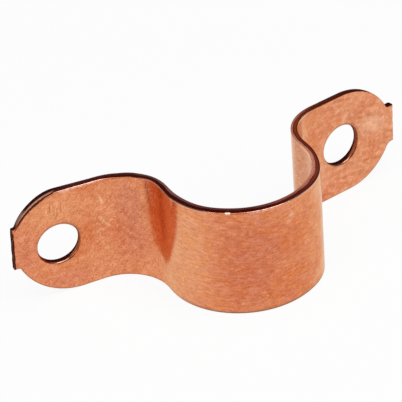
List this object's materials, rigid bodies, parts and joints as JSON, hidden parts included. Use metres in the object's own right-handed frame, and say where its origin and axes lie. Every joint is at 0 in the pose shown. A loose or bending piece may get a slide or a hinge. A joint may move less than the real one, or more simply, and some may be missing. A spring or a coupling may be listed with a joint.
{
  "type": "pipe clip",
  "caption": "Pressed copper pipe clip: a half-round saddle between flat flanges with screw holes, to hold a copper tube against a wall.",
  "frame": {"origin": "on the axis of the tube, level with the lower edge of the strip", "axes": "+Z runs along the tube, +X across the saddle from the left flange to the right one, +Y from the bulge of the saddle towards the wall"},
  "size_m": [0.0482, 0.0181, 0.0127],
  "materials": {
    "copper": "bare rolled copper sheet, satin, with darker sheared edges"
  },
  "bodies": {
    "root": {"pipe_strap": "copper"}
  },
  "joints": []
}
